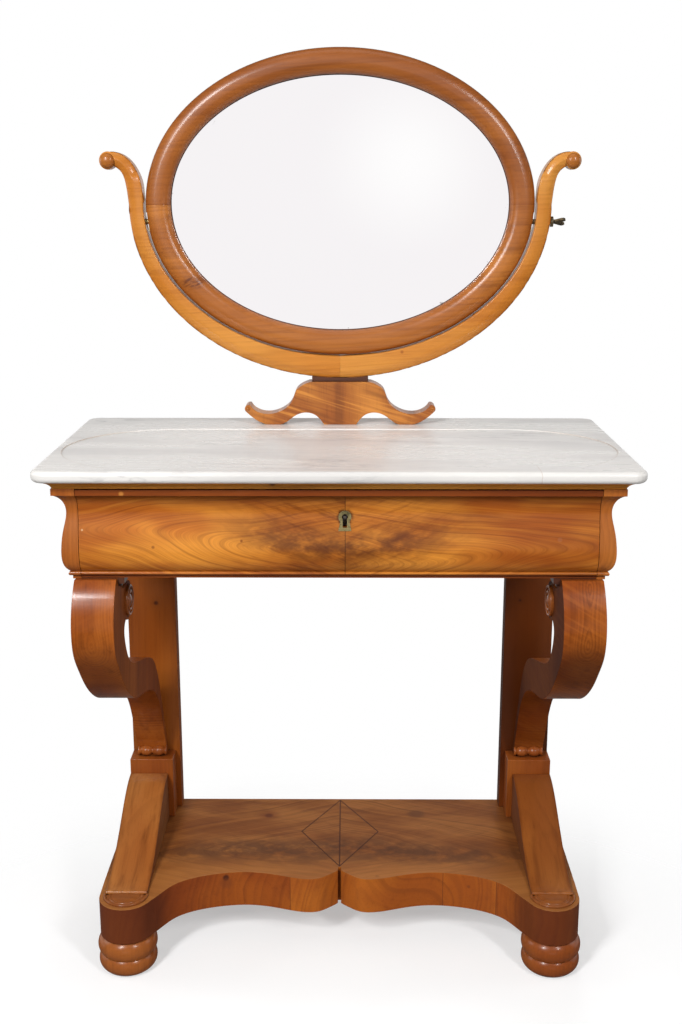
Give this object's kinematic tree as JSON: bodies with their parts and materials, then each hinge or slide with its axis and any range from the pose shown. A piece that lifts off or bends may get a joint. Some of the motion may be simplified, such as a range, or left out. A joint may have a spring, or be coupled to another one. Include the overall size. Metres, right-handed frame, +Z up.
{
  "type": "dressing table with mirror",
  "caption": "Marble-topped dressing table with an ogee drawer on scroll legs and a serpentine platform, and an oval mirror that swings in a crescent yoke.",
  "frame": {"origin": "floor level, centre of the marble top in plan", "axes": "+Z up, +X to the right seen from the front, -Y out of the front"},
  "size_m": [0.838, 0.428, 1.3817],
  "materials": {
    "cherry": "french polished honey-brown cherry, gloss about 0.25 roughness",
    "honey_wood": "french polished light honey fruitwood",
    "dark_wood": "ebonised, polished",
    "secondary_wood": "planed, unpolished",
    "marble": "polished white marble with grey veins",
    "mirror": "silvered",
    "aged_brass": "aged, softly rubbed",
    "steel": "dull, hand filed"
  },
  "bodies": {
    "carcase": {"base_platform": "cherry", "front_rail": "cherry", "rear_rail": "cherry", "cornice_front": "cherry", "mirror_stand": "cherry", "foot_front_left": "cherry", "foot_front_right": "cherry", "foot_rear_left": "cherry", "foot_rear_right": "cherry", "rear_post_right": "cherry", "rear_post_left": "cherry", "leg_block_right": "cherry", "leg_block_left": "cherry", "base_ramp_right": "cherry", "base_ramp_left": "cherry", "corner_patera_right": "cherry", "corner_patera_left": "cherry", "scroll_leg_right": "cherry", "scroll_leg_left": "cherry", "leg_rosettes_right": "cherry", "leg_rosettes_left": "cherry", "leg_spindle_right": "cherry", "leg_spindle_left": "cherry", "case_stile_right": "cherry", "case_stile_left": "cherry", "case_side_right": "cherry", "case_side_left": "cherry", "cornice_side_right": "cherry", "cornice_side_left": "cherry", "yoke_right": "honey_wood", "yoke_left": "honey_wood", "platform_stringing": "dark_wood", "stand_neck": "dark_wood", "case_back": "secondary_wood", "drawer_runner_right": "secondary_wood", "drawer_runner_left": "secondary_wood", "drawer_kicker_right": "secondary_wood", "drawer_kicker_left": "secondary_wood", "marble_top": "marble", "pivot_pin_left": "aged_brass", "stand_bolts": "steel"},
    "drawer": {"drawer_front": "cherry", "drawer_side_left": "secondary_wood", "drawer_side_right": "secondary_wood", "drawer_back": "secondary_wood", "drawer_bottom": "secondary_wood", "lock_case": "steel", "lock_screws": "steel", "escutcheon": "aged_brass"},
    "lock_bolt": {"lock_bolt": "steel"},
    "mirror": {"mirror_frame_upper": "cherry", "mirror_frame_lower": "cherry", "mirror_glass": "mirror", "mirror_backboard": "secondary_wood", "backboard_screws": "steel", "pivot_plate_left": "aged_brass", "pivot_plate_right": "aged_brass"},
    "thumbscrew": {"thumbscrew": "aged_brass"}
  },
  "joints": [
    {"name": "drawer_slide", "type": "slide", "parent": "carcase", "child": "drawer", "axis": [0, -1, 0], "range_m": [0, 0.24]},
    {"name": "bolt_throw", "type": "slide", "parent": "drawer", "child": "lock_bolt", "axis": [0, 0, 1], "range_m": [0, 0.0065]},
    {"name": "mirror_tilt", "type": "hinge", "parent": "carcase", "child": "mirror", "pos_m": [0, 0.163, 1.1235], "axis": [1, 0, 0], "range_deg": [-90, 90]},
    {"name": "thumbscrew_turn", "type": "hinge", "parent": "carcase", "child": "thumbscrew", "pos_m": [0.284, 0.163, 1.1235], "axis": [1, 0, 0], "range_deg": [0, 90]}
  ]
}
